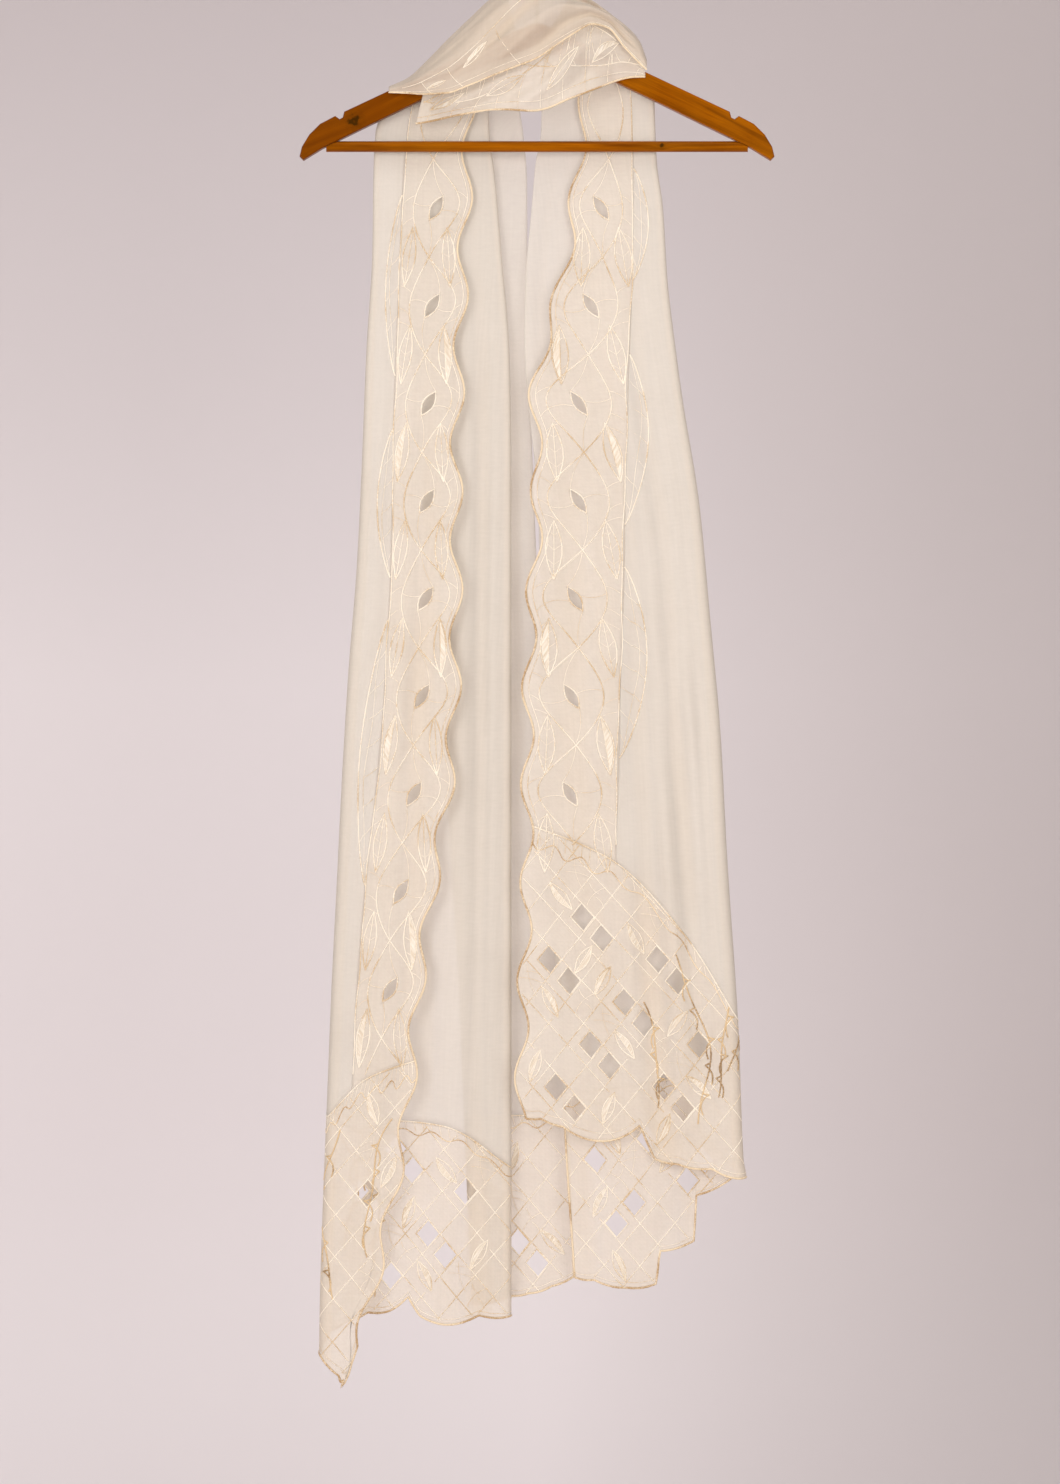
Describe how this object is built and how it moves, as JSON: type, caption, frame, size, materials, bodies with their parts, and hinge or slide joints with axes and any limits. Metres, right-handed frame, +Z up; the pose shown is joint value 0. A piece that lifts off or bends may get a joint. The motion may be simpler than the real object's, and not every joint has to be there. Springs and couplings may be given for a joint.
{
  "type": "evening stole on a wooden coat hanger",
  "caption": "Long sheer silk stole with cutwork lace borders and ends, wound round the neck of a wooden suit hanger with both tails hanging behind it.",
  "frame": {"origin": "inner crown of the hanger's hook, where a rail holds it", "axes": "+X to the right along the hanger, +Y away from the front, +Z up"},
  "size_m": [0.446, 0.1017, 1.3749],
  "materials": {
    "silk": "sheer cream silk organza with a soft sheen",
    "lace": "sheer silk with cream cords, satin fillings and open cutwork",
    "wood": "clear lacquered honey-brown softwood with knots",
    "steel": "bright steel wire"
  },
  "bodies": {
    "root": {"hanger_arms": "wood", "trouser_bar": "wood", "hook": "steel", "neck_cowl": "silk", "neck_lace_swag": "lace", "left_shoulder": "silk", "left_lace_border": "lace", "left_panel": "silk", "left_lace_corner": "lace", "left_lace_end": "lace", "left_back": "silk", "left_back_lace_end": "lace", "right_shoulder": "silk", "right_lace_border": "lace", "right_panel": "silk", "right_lace_end": "lace", "right_back_lace_end": "lace"}
  },
  "joints": []
}
